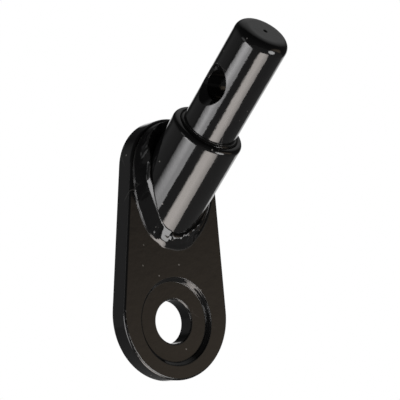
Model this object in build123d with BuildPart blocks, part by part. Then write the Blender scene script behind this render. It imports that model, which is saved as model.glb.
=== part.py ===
"""Bike trailer hitch: a slanted hitch pin in a sleeve, welded to a plate that clamps on the axle.

The origin is the centre of the axle hole on the plate's back face. The back face lies in
the XZ plane, the plate's length runs along +Z, and the pin leans forward, towards -Y.
"""

from build123d import *
from build123d import SkipClean
from math import cos, exp, pi, radians, sin, sqrt, tan
import os

# Plate, in millimetres
plate_thickness = 6.0
plate_bottom_radius = 18.25
plate_top_radius = 15.0
plate_arc_spacing = 41.0
axle_hole_drop = 1.75
axle_hole_diameter = 12.5
plate_edge_round = 0.6
plate_edge_break = 0.5
hole_edge_break = 0.3

# Recess for the axle nut, on the plate's front face, its wall in two steep steps with a slope between
recess_diameter = 24.9
recess_floor_diameter = 22.7
recess_depth = 1.4
recess_step_depth = 0.45
recess_step_run = 0.2

# Sleeve, a stock tube
sleeve_diameter = 21.3
sleeve_wall = 2.0
sleeve_reach = 22.5
sleeve_height = 37.25
sleeve_rise = 42.0
sleeve_lip_round = 1.5
sleeve_mouth_chamfer = 0.4

# Hitch pin, turned: its shank fills the sleeve and ends in a shoulder just past the lip
pin_diameter = 15.9
pin_reach = 33.5
pin_end_round = 3.0
shank_clearance = 0.05
shoulder_proud = 0.2
shoulder_break = 0.35
pin_foot_gap = 0.3
centre_mark_diameter = 1.4

# Cross hole for the retaining clip
clip_hole_diameter = 8.5
clip_hole_rim_diameter = 12.4
clip_hole_sink_angle = 40.0
clip_hole_from_lip = 14.4

# Weld at the sleeve's foot: legs along the plate, heights above it
weld_leg_bottom = 2.4
weld_leg_side = 3.3
weld_leg_swell = 0.7
weld_swell_angle = 35.0
weld_swell_spread = 13.0
weld_edge_margin = 1.0
weld_height_bottom = 2.2
weld_height_side = 3.9
weld_height_top = 3.4
weld_stop_height = 1.4
weld_stop_angle = 22.0
weld_stop_spread = 14.0
weld_step = 0.3
weld_toe_power = 1.6
weld_root_power = 1.5
weld_close_slope = 0.8
weld_levels = 7
weld_outline_points = 28

# Derived places
sleeve_radius = sleeve_diameter / 2
sleeve_bore_radius = sleeve_radius - sleeve_wall
pin_radius = pin_diameter / 2
bottom_arc_z = axle_hole_drop
recess_floor_at = recess_depth - plate_thickness
top_arc_z = bottom_arc_z + plate_arc_spacing
rise = radians(sleeve_rise)
back_plane = Plane.XZ
front_plane = Plane.XZ.offset(plate_thickness)
pin_plane = Plane(
    origin=(0, -plate_thickness, sleeve_height),
    x_dir=(1, 0, 0),
    z_dir=(0, -cos(rise), sin(rise)),
)

pin_axis = Axis(pin_plane.origin, pin_plane.z_dir)

# The slanted foot's lowest and highest points lie this far along the axis
foot_overhang = sleeve_radius * tan(rise)
foot_half_length = sleeve_radius / cos(rise)
shank_radius = sleeve_bore_radius - shank_clearance
shoulder_at = sleeve_reach + shoulder_proud
pin_end = sleeve_reach + pin_reach
pin_foot = shank_radius * tan(rise) + pin_foot_gap
clip_hole_at = sleeve_reach + clip_hole_from_lip
sink_depth = (clip_hole_rim_diameter - clip_hole_diameter) / 2 / tan(radians(clip_hole_sink_angle))
turning_plane = Plane(
    origin=pin_plane.origin,
    x_dir=pin_plane.x_dir,
    z_dir=pin_plane.x_dir.cross(pin_plane.z_dir),
)
clip_plane = Plane(
    origin=pin_plane.from_local_coords((0, 0, clip_hole_at)),
    x_dir=pin_plane.z_dir,
    z_dir=pin_plane.x_dir,
)

# Mounting plate
with BuildPart() as mounting_plate:
    with BuildSketch(back_plane):
        with Locations((0, bottom_arc_z)):
            Circle(plate_bottom_radius)
        with Locations((0, top_arc_z)):
            Circle(plate_top_radius)
        make_hull()
    extrude(amount=plate_thickness)
    faces_across = mounting_plate.faces().filter_by(Axis.Y).sort_by(Axis.Y)
    fillet(faces_across[0].edges(), plate_edge_round)
    chamfer(faces_across[-1].edges(), plate_edge_break)
    with BuildSketch(Plane.YZ):
        with BuildLine():
            Polyline(
                (-plate_thickness, 0),
                (-plate_thickness, recess_diameter / 2),
                (recess_step_depth - plate_thickness, recess_diameter / 2 - recess_step_run),
                (recess_floor_at - recess_step_depth, recess_floor_diameter / 2 + recess_step_run),
                (recess_floor_at, recess_floor_diameter / 2),
                (recess_floor_at, 0),
                close=True,
            )
        make_face()
    revolve(axis=Axis.Y, mode=Mode.SUBTRACT)
    with Locations(front_plane):
        Hole(axle_hole_diameter / 2)
    seat_face = mounting_plate.faces().filter_by(Axis.Y).sort_by(Axis.Y)[1]
    chamfer(seat_face.inner_wires()[0].edges(), hole_edge_break)

# Sleeve
with BuildPart() as sleeve:
    with BuildSketch(pin_plane.offset(-foot_overhang)):
        Circle(sleeve_radius)
        Circle(sleeve_bore_radius, mode=Mode.SUBTRACT)
    extrude(amount=foot_overhang + sleeve_reach)
    lip = sleeve.faces().filter_by(pin_plane).sort_by(pin_axis)[-1]
    fillet(lip.outer_wire().edges(), sleeve_lip_round)
    mouth = sleeve.faces().filter_by(pin_plane).sort_by(pin_axis)[-1]
    chamfer(mouth.inner_wires()[0].edges(), sleeve_mouth_chamfer)
    split(bisect_by=front_plane, keep=Keep.TOP)

# Hitch pin, turned. Its bare length is two faces that meet at the cross hole, so they stay unmerged
with BuildPart() as hitch_pin:
    with BuildSketch(turning_plane):
        with BuildLine():
            Polyline(
                (0, pin_foot),
                (shank_radius, pin_foot),
                (shank_radius, shoulder_at - shoulder_break),
                (shank_radius - shoulder_break, shoulder_at),
                (pin_radius, shoulder_at),
                (pin_radius, clip_hole_at),
                (0, clip_hole_at),
                close=True,
            )
        make_face()
    revolve(axis=pin_axis)
    with SkipClean():
        with BuildSketch(turning_plane):
            with BuildLine():
                Polyline(
                    (0, pin_end - centre_mark_diameter / 2),
                    (0, clip_hole_at),
                    (pin_radius, clip_hole_at),
                    (pin_radius, pin_end - pin_end_round),
                )
                RadiusArc(
                    (pin_radius, pin_end - pin_end_round),
                    (pin_radius - pin_end_round, pin_end),
                    -pin_end_round,
                )
                Polyline(
                    (pin_radius - pin_end_round, pin_end),
                    (centre_mark_diameter / 2, pin_end),
                    (0, pin_end - centre_mark_diameter / 2),
                )
            make_face()
        revolve(axis=pin_axis)
        for mouth_plane in (clip_plane, -clip_plane):
            with BuildSketch(mouth_plane):
                Circle(clip_hole_diameter / 2)
            extrude(amount=pin_radius, mode=Mode.SUBTRACT)
            with BuildSketch(mouth_plane.offset(pin_radius)):
                Circle(clip_hole_rim_diameter / 2)
            extrude(amount=-sink_depth, taper=clip_hole_sink_angle, mode=Mode.SUBTRACT)


def by_quarter(angle, bottom, side, top):
    """Blend of three values round the weld: bottom at 0 degrees, side at 90, top at 180."""
    end = bottom if cos(angle) > 0 else top
    return side + (end - side) * abs(cos(angle))


def swell(angle, place, spread):
    """Smooth lump of height 1 round the weld at this place, both in degrees."""
    off = (angle - radians(place)) / radians(spread)
    return exp(-off * off)


def weld_point(angle, level):
    """Point of the weld's outline at this angle, at this height above the plate's face."""
    foot = Vector(sleeve_radius * sin(angle), -foot_half_length * cos(angle))
    outward = Vector(foot.X / sleeve_radius**2, foot.Y / foot_half_length**2).normalized()
    from_arc = foot + Vector(0, sleeve_height - top_arc_z)
    along = from_arc.dot(outward)
    toe_radius = plate_top_radius - weld_edge_margin
    leg_top = sqrt(along**2 + toe_radius**2 - from_arc.dot(from_arc)) - along
    leg = by_quarter(angle, weld_leg_bottom, weld_leg_side, leg_top)
    leg += weld_leg_swell * swell(abs(angle), weld_swell_angle, weld_swell_spread)
    height = by_quarter(angle, weld_height_bottom, weld_height_side, weld_height_top)
    height += weld_stop_height * swell(angle, weld_stop_angle, weld_stop_spread)
    if level < height:
        spread = (1 - (level / height) ** weld_toe_power) ** weld_root_power
        proud = weld_step + (leg - weld_step) * spread
    else:
        proud = weld_step - weld_close_slope * (level - height)
    place = foot + outward * proud + Vector(0, sleeve_height + level * tan(rise))
    return (place.X, place.Y)


# Weld at the sleeve's foot: steep at its toe, hollow towards the sleeve that stands out of it
with BuildPart() as base_weld:
    weld_top = weld_height_side + weld_stop_height
    turns = [2 * pi * (i / weld_outline_points) - pi for i in range(weld_outline_points)]
    for i in range(weld_levels + 1):
        level = weld_top * i / weld_levels
        with BuildSketch(front_plane.offset(level)):
            with BuildLine():
                Spline([weld_point(angle, level) for angle in turns], periodic=True)
            make_face()
    loft(ruled=True)
    with BuildSketch(pin_plane.offset(-foot_overhang)):
        Circle(sleeve_radius)
    extrude(amount=foot_overhang + sleeve_reach, mode=Mode.SUBTRACT)

mounting_plate.part.label = "mounting_plate"
sleeve.part.label = "sleeve"
hitch_pin.part.label = "hitch_pin"
base_weld.part.label = "base_weld"

os.makedirs("parts", exist_ok=True)
export_step(mounting_plate.part, "parts/mounting_plate.step")
export_step(sleeve.part, "parts/sleeve.step")
export_step(hitch_pin.part, "parts/hitch_pin.step")
export_step(base_weld.part, "parts/base_weld.step")
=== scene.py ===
"""Looks of the bike trailer hitch: materials, light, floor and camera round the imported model."""

import bpy
from math import cos, exp, pi, radians, sin, tan
from mathutils import Matrix, Vector, noise


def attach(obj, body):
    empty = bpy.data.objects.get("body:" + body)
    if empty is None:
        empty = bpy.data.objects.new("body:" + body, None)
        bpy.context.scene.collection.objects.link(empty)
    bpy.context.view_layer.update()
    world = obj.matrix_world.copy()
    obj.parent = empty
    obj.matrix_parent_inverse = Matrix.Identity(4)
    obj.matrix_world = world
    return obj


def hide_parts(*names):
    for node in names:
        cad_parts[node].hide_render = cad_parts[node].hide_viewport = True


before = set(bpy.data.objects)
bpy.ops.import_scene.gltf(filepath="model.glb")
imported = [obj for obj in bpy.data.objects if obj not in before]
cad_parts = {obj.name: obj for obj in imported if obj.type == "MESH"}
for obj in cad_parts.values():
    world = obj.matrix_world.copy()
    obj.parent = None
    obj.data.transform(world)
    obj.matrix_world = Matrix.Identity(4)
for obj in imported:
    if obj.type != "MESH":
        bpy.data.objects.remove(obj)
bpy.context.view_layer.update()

MM = 0.001

# Camera, as fitted to the photograph's edges
CAMERA_PLACE = Vector((-292.10, -379.32, -34.58)) * MM
CAMERA_AZIMUTH = -38.934
CAMERA_ELEVATION = -8.257
CAMERA_ROLL = 1.587
CAMERA_LENS = 152.07
SENSOR = 36.0

# The point that the soft boxes face
LIGHT_AIM = Vector((0, -20, 45)) * MM
# Azimuth from -Y towards +X, elevation and turn about the line of sight in degrees, distance and size
# in metres, brightness, colour, and the fades across the box, each as its direction, dim place,
# full place and dim share. A box without fades is round.
SOFT_BOXES = {
    "left_box": {
        "azimuth": -100.0,
        "elevation": -26.0,
        "turn": 20.0,
        "distance": 0.40,
        "size": (0.30, 0.30),
        "brightness": 7.2,
        "colour": (1.0, 0.99, 1.0),
        "fades": (((0.88, -0.51), -0.52, 0.0, 0.03), ((0.34, 0.94), -0.22, 0.05, 0.6)),
    },
    "low_box": {
        "azimuth": -8.3,
        "elevation": -73.4,
        "turn": 0.0,
        "distance": 0.40,
        "size": (0.28, 0.30),
        "brightness": 7.6,
        "colour": (1.0, 0.93, 0.88),
        "fades": (((1.0, 0.0), -0.54, -0.36, 0.1), ((-1.0, 0.0), -0.44, 0.0, 0.55)),
    },
    "right_box": {
        "azimuth": 24.0,
        "elevation": -25.0,
        "turn": 0.0,
        "distance": 0.45,
        "size": (0.22, 0.22),
        "brightness": 7.0,
        "colour": (1.0, 1.0, 1.0),
        "fades": (),
    },
}


def direction(azimuth, elevation):
    """Unit vector towards this azimuth, from -Y towards +X, and elevation, both in degrees."""
    a, e = radians(azimuth), radians(elevation)
    return Vector((sin(a) * cos(e), -cos(a) * cos(e), sin(e)))


def clear_defaults():
    """Removes the objects of the startup scene."""
    for name in ("Camera", "Cube", "Light"):
        old = bpy.data.objects.get(name)
        if old is not None:
            bpy.data.objects.remove(old, do_unlink=True)


def make_camera():
    """The photograph's camera."""
    data = bpy.data.cameras.new("camera")
    data.lens = CAMERA_LENS
    data.sensor_width = SENSOR
    data.sensor_fit = "HORIZONTAL"
    data.clip_start = 0.01
    data.clip_end = 20.0
    camera = bpy.data.objects.new("camera", data)
    bpy.context.scene.collection.objects.link(camera)
    back = direction(CAMERA_AZIMUTH, CAMERA_ELEVATION)
    level = Vector((cos(radians(CAMERA_AZIMUTH)), sin(radians(CAMERA_AZIMUTH)), 0))
    down = (-back).cross(level)
    roll = radians(CAMERA_ROLL)
    right = level * cos(roll) + down * sin(roll)
    down = down * cos(roll) - level * sin(roll)
    turn = Matrix((right, -down, back)).transposed()
    camera.matrix_world = Matrix.Translation(CAMERA_PLACE) @ turn.to_4x4()
    bpy.context.scene.camera = camera


def node(tree, kind, x, y, **settings):
    """New node of this kind in the tree, placed at x, y in its editor."""
    made = tree.nodes.new(kind)
    made.location = (x, y)
    for key, value in settings.items():
        setattr(made, key, value)
    return made


def make_soft_box(name, azimuth, elevation, turn, distance, size, brightness, colour, fades):
    """Area lamp that faces the part and fades across itself."""
    data = bpy.data.lights.new(name, "AREA")
    data.shape = "RECTANGLE" if fades else "ELLIPSE"
    data.size, data.size_y = size
    area = size[0] * size[1] * (1 if fades else pi / 4)
    data.energy = brightness * pi * area
    data.color = colour
    if fades:
        data.use_nodes = True
        tree = data.node_tree
        glow = tree.nodes["Emission"]
        place = node(tree, "ShaderNodeNewGeometry", -1100, 0)
        share = None
        for i, (across, dim, full, dim_share) in enumerate(fades):
            along = node(tree, "ShaderNodeVectorMath", -900, -250 * i, operation="DOT_PRODUCT")
            along.inputs[1].default_value = (*across, 0)
            ramp = node(tree, "ShaderNodeMapRange", -700, -250 * i)
            middle = (across[0] + across[1]) / 2
            ramp.inputs["From Min"].default_value = dim + middle
            ramp.inputs["From Max"].default_value = full + middle
            ramp.inputs["To Min"].default_value = dim_share
            tree.links.new(place.outputs["Parametric"], along.inputs[0])
            tree.links.new(along.outputs["Value"], ramp.inputs["Value"])
            if share is None:
                share = ramp.outputs["Result"]
            else:
                product = node(tree, "ShaderNodeMath", -400, -250 * i, operation="MULTIPLY")
                tree.links.new(share, product.inputs[0])
                tree.links.new(ramp.outputs["Result"], product.inputs[1])
                share = product.outputs["Value"]
        tree.links.new(share, glow.inputs["Strength"])
    lamp = bpy.data.objects.new(name, data)
    bpy.context.scene.collection.objects.link(lamp)
    back = direction(azimuth, elevation)
    lamp.rotation_mode = "QUATERNION"
    own_turn = Matrix.Rotation(radians(turn), 3, "Z").to_quaternion()
    lamp.rotation_quaternion = back.to_track_quat("Z", "Y") @ own_turn
    lamp.location = LIGHT_AIM + back * distance
    lamp.visible_camera = False


# Glow of the room beyond the soft boxes: azimuth, elevation, full and faded radius in degrees, colour.
# ROOM_DARK is the grey between the glows
ROOM_GLOW = (
    (143, -4, 25, 36, (1.0, 1.0, 1.0)),
    (96, 62, 10, 45, (0.34, 0.34, 0.34)),
    (42, -12, 10, 27, (0.62, 0.50, 0.38)),
    (-142, 9, 12, 41, (0.145, 0.145, 0.145)),
    (-98, 9, 5, 13, (0.9, 0.9, 0.9)),
)
ROOM_DARK = 0.03


def make_world():
    """The room's glow on the part, and plain white where the camera looks past it."""
    world = bpy.data.worlds.new("studio")
    bpy.context.scene.world = world
    world.use_nodes = True
    tree = world.node_tree
    tree.nodes.clear()
    link = tree.links.new
    out = node(tree, "ShaderNodeOutputWorld", 900, 0)
    place = node(tree, "ShaderNodeTexCoord", -1100, 0)
    total = None
    for i, (azimuth, elevation, full, faded, colour) in enumerate(ROOM_GLOW):
        towards = node(tree, "ShaderNodeVectorMath", -900, -200 * i, operation="DOT_PRODUCT")
        towards.inputs[1].default_value = direction(azimuth, elevation)
        lobe = node(tree, "ShaderNodeMapRange", -700, -200 * i, interpolation_type="SMOOTHSTEP")
        lobe.inputs["From Min"].default_value = cos(radians(faded))
        lobe.inputs["From Max"].default_value = cos(radians(full))
        tint = node(tree, "ShaderNodeVectorMath", -500, -200 * i, operation="MULTIPLY_ADD")
        tint.inputs[0].default_value = colour
        tint.inputs[2].default_value = (ROOM_DARK, ROOM_DARK, ROOM_DARK)
        link(place.outputs["Generated"], towards.inputs[0])
        link(towards.outputs["Value"], lobe.inputs["Value"])
        link(lobe.outputs["Result"], tint.inputs[1])
        if total is not None:
            link(total.outputs["Vector"], tint.inputs[2])
        total = tint
    seen = node(tree, "ShaderNodeLightPath", -300, 250)
    pick = node(tree, "ShaderNodeMix", 0, 0, data_type="RGBA")
    pick.inputs["B"].default_value = (1, 1, 1, 1)
    glow = node(tree, "ShaderNodeBackground", 500, 0)
    link(seen.outputs["Is Camera Ray"], pick.inputs["Factor"])
    link(total.outputs["Vector"], pick.inputs["A"])
    link(pick.outputs["Result"], glow.inputs["Color"])
    link(glow.outputs["Background"], out.inputs["Surface"])


# Floor, in metres
FLOOR_HALF = 3.0
FLOOR_HEIGHT = -0.62


def make_floor():
    """Plain pale paper, well below the part."""
    mesh = bpy.data.meshes.new("floor")
    corners = [(x * FLOOR_HALF, y * FLOOR_HALF, FLOOR_HEIGHT) for x, y in ((-1, -1), (1, -1), (1, 1), (-1, 1))]
    mesh.from_pydata(corners, [], [(0, 1, 2, 3)])
    floor = bpy.data.objects.new("floor", mesh)
    bpy.context.scene.collection.objects.link(floor)
    material = bpy.data.materials.new("floor_paper")
    material.use_nodes = True
    shader = material.node_tree.nodes["Principled BSDF"]
    shader.inputs["Base Color"].default_value = (0.8, 0.8, 0.8, 1)
    shader.inputs["Roughness"].default_value = 0.9
    mesh.materials.append(material)


# Coat: depth of its orange peel in metres, by piece, its own black and the radius that softens its edges
PEEL = {"mounting_plate": 0.000028, "sleeve": 0.000028, "hitch_pin": 0.00004, "base_weld": 0.000015}
COAT_BLACK = (0.004, 0.004, 0.004 * 1.03, 1)
DUST_GREY = (0.15, 0.145, 0.14, 1)
# Lighter grey for the edges: partly wear, partly a painted highlight along the edges
EDGE_SHEEN_AND_WEAR_GREY = (0.045, 0.044, 0.043, 1)
EDGE_RADIUS = 0.35 * MM


def make_coat(name, peel):
    """Gloss black powder coat: orange peel, uneven gloss, dust, faint scratches, and edges painted lighter grey,
    partly wear and partly a painted highlight along the edges.
    """
    material = bpy.data.materials.new(name)
    material.use_nodes = True
    tree = material.node_tree
    shader = tree.nodes["Principled BSDF"]
    shader.inputs["IOR"].default_value = 1.5
    link = tree.links.new
    place = node(tree, "ShaderNodeTexCoord", -1700, 0)

    waves = node(tree, "ShaderNodeTexNoise", -1300, -500)
    waves.inputs["Scale"].default_value = 420
    waves.inputs["Detail"].default_value = 2.0
    grain = node(tree, "ShaderNodeTexNoise", -1300, -750)
    grain.inputs["Scale"].default_value = 1500
    grain.inputs["Detail"].default_value = 1.0
    height = node(tree, "ShaderNodeMath", -900, -600, operation="MULTIPLY_ADD")
    height.inputs[1].default_value = 0.16
    bump = node(tree, "ShaderNodeBump", -400, -500)
    bump.inputs["Strength"].default_value = 1.0
    bump.inputs["Distance"].default_value = peel

    patches = node(tree, "ShaderNodeTexNoise", -1300, 0)
    patches.inputs["Scale"].default_value = 90
    patches.inputs["Detail"].default_value = 3.0
    gloss = node(tree, "ShaderNodeMapRange", -1000, 0)
    gloss.inputs["From Min"].default_value = 0.3
    gloss.inputs["From Max"].default_value = 0.7
    gloss.inputs["To Min"].default_value = 0.06
    gloss.inputs["To Max"].default_value = 0.115

    dust = node(tree, "ShaderNodeTexVoronoi", -1300, 500)
    dust.inputs["Scale"].default_value = 240
    speck = node(tree, "ShaderNodeMapRange", -1000, 500)
    speck.inputs["From Min"].default_value = 0.07
    speck.inputs["From Max"].default_value = 0.04
    marks = node(tree, "ShaderNodeTexVoronoi", -1300, 800, feature="DISTANCE_TO_EDGE")
    marks.inputs["Scale"].default_value = 55
    hairline = node(tree, "ShaderNodeMapRange", -1000, 800)
    hairline.inputs["From Min"].default_value = 0.006
    hairline.inputs["From Max"].default_value = 0.002
    hairline.inputs["To Max"].default_value = 0.2
    where = node(tree, "ShaderNodeMapRange", -1000, 250)
    where.inputs["From Min"].default_value = 0.58
    where.inputs["From Max"].default_value = 0.66
    scratch = node(tree, "ShaderNodeMath", -750, 700, operation="MULTIPLY")
    dirt = node(tree, "ShaderNodeMath", -550, 600, operation="MAXIMUM")

    rounded = node(tree, "ShaderNodeBevel", -1300, 1100, samples=6)
    rounded.inputs["Radius"].default_value = EDGE_RADIUS
    shape = node(tree, "ShaderNodeNewGeometry", -1300, 1300)
    bend = node(tree, "ShaderNodeVectorMath", -1050, 1150, operation="DOT_PRODUCT")
    # Edge mask where the softened normal bends from the true one, for the lighter grey that is wear and painted
    # edge highlight together
    edge = node(tree, "ShaderNodeMapRange", -800, 1150)
    edge.inputs["From Min"].default_value = 0.985
    edge.inputs["From Max"].default_value = 0.93
    edge_sheen_and_wear = node(tree, "ShaderNodeMath", -550, 950, operation="MULTIPLY")

    colour = node(tree, "ShaderNodeMix", -350, 300, data_type="RGBA")
    colour.inputs["A"].default_value = COAT_BLACK
    colour.inputs["B"].default_value = DUST_GREY
    # Edges painted lighter grey in patches: partly wear, partly a painted highlight along the edges
    edge_sheen_and_wear_colour = node(tree, "ShaderNodeMix", -150, 450, data_type="RGBA")
    edge_sheen_and_wear_colour.inputs["B"].default_value = EDGE_SHEEN_AND_WEAR_GREY
    rough = node(tree, "ShaderNodeMath", -350, 0, operation="MULTIPLY_ADD")
    rough.inputs[1].default_value = 0.16

    for texture in (waves, grain, patches, dust, marks):
        link(place.outputs["Object"], texture.inputs["Vector"])
    link(grain.outputs["Fac"], height.inputs[0])
    link(waves.outputs["Fac"], height.inputs[2])
    link(height.outputs["Value"], bump.inputs["Height"])
    link(rounded.outputs["Normal"], bump.inputs["Normal"])
    link(bump.outputs["Normal"], shader.inputs["Normal"])
    link(patches.outputs["Fac"], gloss.inputs["Value"])
    link(patches.outputs["Fac"], where.inputs["Value"])
    link(dust.outputs["Distance"], speck.inputs["Value"])
    link(marks.outputs["Distance"], hairline.inputs["Value"])
    link(hairline.outputs["Result"], scratch.inputs[0])
    link(where.outputs["Result"], scratch.inputs[1])
    link(scratch.outputs["Value"], dirt.inputs[0])
    link(speck.outputs["Result"], dirt.inputs[1])
    link(rounded.outputs["Normal"], bend.inputs[0])
    link(shape.outputs["Normal"], bend.inputs[1])
    link(bend.outputs["Value"], edge.inputs["Value"])
    link(edge.outputs["Result"], edge_sheen_and_wear.inputs[0])
    link(patches.outputs["Fac"], edge_sheen_and_wear.inputs[1])
    link(dirt.outputs["Value"], colour.inputs["Factor"])
    link(colour.outputs["Result"], edge_sheen_and_wear_colour.inputs["A"])
    link(edge_sheen_and_wear.outputs["Value"], edge_sheen_and_wear_colour.inputs["Factor"])
    link(edge_sheen_and_wear_colour.outputs["Result"], shader.inputs["Base Color"])
    link(edge_sheen_and_wear.outputs["Value"], rough.inputs[0])
    link(gloss.outputs["Result"], rough.inputs[2])
    link(rough.outputs["Value"], shader.inputs["Roughness"])
    return material


# Weld bead, in millimetres: the same foot, legs and heights as the solid, with a finer section
SLEEVE_RADIUS = 10.65
SLEEVE_HEIGHT = 37.25
SLEEVE_RISE = radians(42)
PLATE_FACE = -6.0

# Angle round the foot (0 below, positive towards +X) and leg along the plate, then the distance from
# the foot and the height of three places up the bead; the last is its top
WELD_STATIONS = (
    (-180, 5.1, 4.0, 1.2, 3.4, 2.2, 2.7, 3.1),
    (-150, 5.2, 4.1, 1.2, 3.6, 2.2, 3.0, 3.2),
    (-140, 5.1, 4.1, 1.2, 3.7, 2.2, 3.1, 3.3),
    (-130, 4.9, 3.9, 1.2, 3.5, 2.3, 3.0, 3.4),
    (-120, 4.6, 3.6, 1.3, 3.1, 2.5, 2.6, 3.6),
    (-111, 4.1, 2.9, 1.4, 2.1, 2.7, 1.5, 3.85),
    (-105, 3.9, 2.6, 1.4, 1.2, 2.6, 0.65, 3.7),
    (-97, 3.4, 2.4, 1.4, 0.9, 2.5, 0.45, 3.9),
    (-91, 3.1, 2.2, 1.3, 1.0, 2.4, 0.5, 3.75),
    (-86, 3.05, 2.0, 1.3, 0.95, 2.5, 0.48, 3.9),
    (-80, 2.95, 1.9, 1.4, 0.72, 2.7, 0.3, 4.1),
    (-75, 2.9, 1.8, 1.5, 0.55, 2.8, 0.2, 4.2),
    (-65, 2.7, 1.6, 1.6, 0.32, 2.9, 0.16, 3.9),
    (-55, 2.7, 1.6, 1.5, 0.2, 2.8, 0.12, 3.5),
    (-50, 2.8, 1.7, 1.4, 0.2, 2.65, 0.1, 3.1),
    (-45, 2.9, 1.8, 1.2, 0.35, 2.35, 0.1, 2.8),
    (-37, 2.95, 2.0, 1.0, 0.8, 1.9, 0.12, 2.45),
    (-31, 2.95, 2.2, 1.0, 1.0, 1.75, 0.15, 2.3),
    (-26, 2.9, 2.75, 1.2, 1.4, 1.75, 0.25, 2.2),
    (-20, 2.9, 2.8, 1.25, 1.4, 1.75, 0.3, 2.15),
    (-15, 2.8, 2.65, 1.25, 1.4, 1.75, 0.3, 2.15),
    (-9, 2.7, 2.3, 0.85, 1.95, 1.65, 1.5, 2.05),
    (-2, 2.7, 2.3, 0.85, 1.95, 1.7, 1.5, 2.1),
    (5, 2.7, 2.3, 0.9, 1.9, 1.8, 1.4, 2.3),
    (13, 2.8, 2.2, 1.1, 1.8, 2.0, 1.2, 2.6),
    (22, 2.7, 1.9, 1.2, 1.6, 2.2, 1.1, 2.9),
    (35, 2.3, 1.8, 1.3, 1.5, 2.4, 1.0, 3.1),
    (60, 2.6, 1.8, 1.3, 1.3, 2.4, 0.6, 3.3),
    (90, 3.3, 2.2, 1.4, 1.4, 2.6, 0.8, 3.6),
    (120, 4.6, 3.4, 1.4, 2.8, 2.4, 2.2, 3.3),
    (150, 5.2, 4.1, 1.2, 3.5, 2.2, 3.0, 3.2),
)
# Width of the hollow lip along the bead's toe, and where it narrows: angle, spread and width lost
TOE_LIP = 0.32
LIP_DIP_ANGLE = -27
LIP_DIP_SPREAD = 8
LIP_DIP = 0.22
# Points round the bead and along its section
ROUND_STEPS = 420
SECTION_STEPS = 100
# How far the bead's underside reaches into the plate and into the sleeve
SUNK = 0.05
UNDER_SLEEVE = 0.5

# Angle, distance from the foot, radius and height of single lumps on the bead
WELD_LUMPS = (
    (7, 0.9, 0.4, 0.25),
    (4, 1.7, 0.4, 0.2),
    (14, 1.4, 0.8, 0.3),
    (24, 1.6, 0.8, 0.35),
    (34, 1.3, 0.8, 0.3),
    (-112, 2.2, 0.9, 0.45),
    (-124, 3.1, 0.9, 0.35),
    (-137, 3.5, 1.0, 0.35),
    (-152, 3.4, 1.0, 0.3),
)


def blended(rows, at, period=None):
    """Value of each column of rows at this place, smooth between the rows. The first column is the place."""
    rows = list(rows)
    if period is not None:
        at = (at - rows[0][0]) % period + rows[0][0]
        rows = [tuple([rows[-1][0] - period, *rows[-1][1:]]), *rows]
        rows += [tuple([rows[1][0] + period, *rows[1][1:]]), tuple([rows[2][0] + period, *rows[2][1:]])]
    for i in range(len(rows) - 1):
        if rows[i][0] <= at <= rows[i + 1][0]:
            break
    before, start, end, after = rows[max(i - 1, 0)], rows[i], rows[i + 1], rows[min(i + 2, len(rows) - 1)]
    span = end[0] - start[0]
    t = (at - start[0]) / span
    out = []
    for k in range(1, len(start)):
        slope_start = (end[k] - before[k]) / max(end[0] - before[0], 1e-9) * span
        slope_end = (after[k] - start[k]) / max(after[0] - start[0], 1e-9) * span
        out.append(
            (2 * t**3 - 3 * t**2 + 1) * start[k]
            + (t**3 - 2 * t**2 + t) * slope_start
            + (3 * t**2 - 2 * t**3) * end[k]
            + (t**3 - t**2) * slope_end
        )
    return out


def section_rows(lip, leg, low_at, low, mid_at, mid, top_at, top):
    """The bead's section from its toe to the sleeve, with each point's place along it, from 0 to 1."""
    section = (
        (leg + lip, -0.01),
        (leg + 0.6 * lip, 0.03),
        (leg + 0.2 * lip, 0.09),
        (leg + 0.01, 0.18),
        (leg - 0.01, 0.38),
        (low_at, low),
        (mid_at, mid),
        (0.25 * mid_at + 0.75 * top_at, 0.25 * mid + 0.75 * top),
        (top_at - 0.06, top - 0.02),
        (0.6 * top_at - 0.04, top),
        (-0.02, top - 0.22),
        (-UNDER_SLEEVE, top - 0.3),
    )
    lengths = [0.0]
    for (p0, q0), (p1, q1) in zip(section, section[1:]):
        lengths.append(lengths[-1] + ((p1 - p0) ** 2 + (q1 - q0) ** 2) ** 0.5)
    return [(length / lengths[-1], p, q) for length, (p, q) in zip(lengths, section)]


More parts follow.
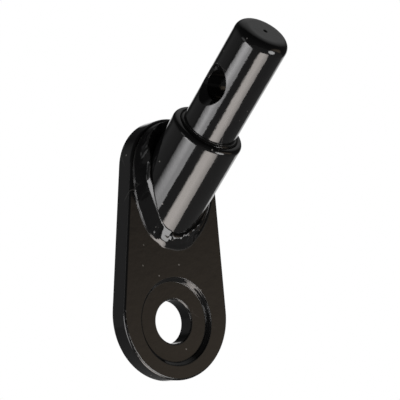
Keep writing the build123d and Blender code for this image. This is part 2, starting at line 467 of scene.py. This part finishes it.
def bead_ring(degrees_round):
    """One closed section of the bead: foot, outward direction, distance from the foot and height of each point."""
    angle = radians(degrees_round)
    leg, *places = blended(WELD_STATIONS, degrees_round, 360)
    half_length = SLEEVE_RADIUS / cos(SLEEVE_RISE)
    foot = Vector((SLEEVE_RADIUS * sin(angle), -half_length * cos(angle)))
    outward = Vector((foot.x / SLEEVE_RADIUS**2, foot.y / half_length**2)).normalized()
    leg += 0.12 * noise.noise(Vector((foot.x, 0, foot.y)) * 0.5)
    lip = TOE_LIP - LIP_DIP * exp(-(((degrees_round - LIP_DIP_ANGLE) / LIP_DIP_SPREAD) ** 2))
    rows = section_rows(lip, leg, *places)
    ring = [(foot, outward, leg + lip, -SUNK)]
    for j in range(1, SECTION_STEPS + 1):
        p, q = blended(rows, j / SECTION_STEPS)
        spot = foot + outward * p
        wobble = noise.noise(Vector((spot.x, q, spot.y)) * 0.45) * 0.12
        wobble += noise.noise(Vector((spot.x, q, spot.y)) * 1.1 + Vector((7, 3, 5))) * 0.04
        for lump_angle, lump_place, radius, lump_height in WELD_LUMPS:
            around = radians(degrees_round - lump_angle) * foot.length
            across = p - lump_place
            wobble += lump_height * exp(-(around**2 + across**2) / radius**2)
        fade = min(1.0, q / 0.6) * min(1.0, max(0.0, p / 0.5))
        ring.append((foot, outward, p, q + wobble * fade))
    ring.append((foot, outward, -UNDER_SLEEVE, -SUNK))
    return ring


def make_weld():
    """The bead round the sleeve's foot, shown in place of the plain solid."""
    points, faces = [], []
    for i in range(ROUND_STEPS):
        for foot, outward, p, q in bead_ring(-180 + 360 * i / ROUND_STEPS):
            spot = foot + outward * p
            points.append(Vector((spot.x, PLATE_FACE - q, SLEEVE_HEIGHT + spot.y + q * tan(SLEEVE_RISE))) * MM)
    count = SECTION_STEPS + 2
    for i in range(ROUND_STEPS):
        here, there = i * count, (i + 1) % ROUND_STEPS * count
        for j in range(count):
            k = (j + 1) % count
            faces.append((here + j, there + j, there + k, here + k))
    mesh = bpy.data.meshes.new("weld_bead")
    mesh.from_pydata(points, [], faces)
    for face in mesh.polygons:
        face.use_smooth = True
    weld = bpy.data.objects.new("weld_bead", mesh)
    bpy.context.scene.collection.objects.link(weld)
    mesh.materials.append(make_coat("weld_coat", PEEL["base_weld"]))
    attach(weld, "root")
    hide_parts("base_weld")


clear_defaults()
make_camera()
make_world()
make_floor()
for name, settings in SOFT_BOXES.items():
    make_soft_box(name, **settings)
for name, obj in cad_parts.items():
    coat = make_coat(name + "_coat", PEEL[name])
    for place in obj.material_slots:
        place.material = coat
make_weld()

bpy.context.scene.view_settings.view_transform = "Standard"
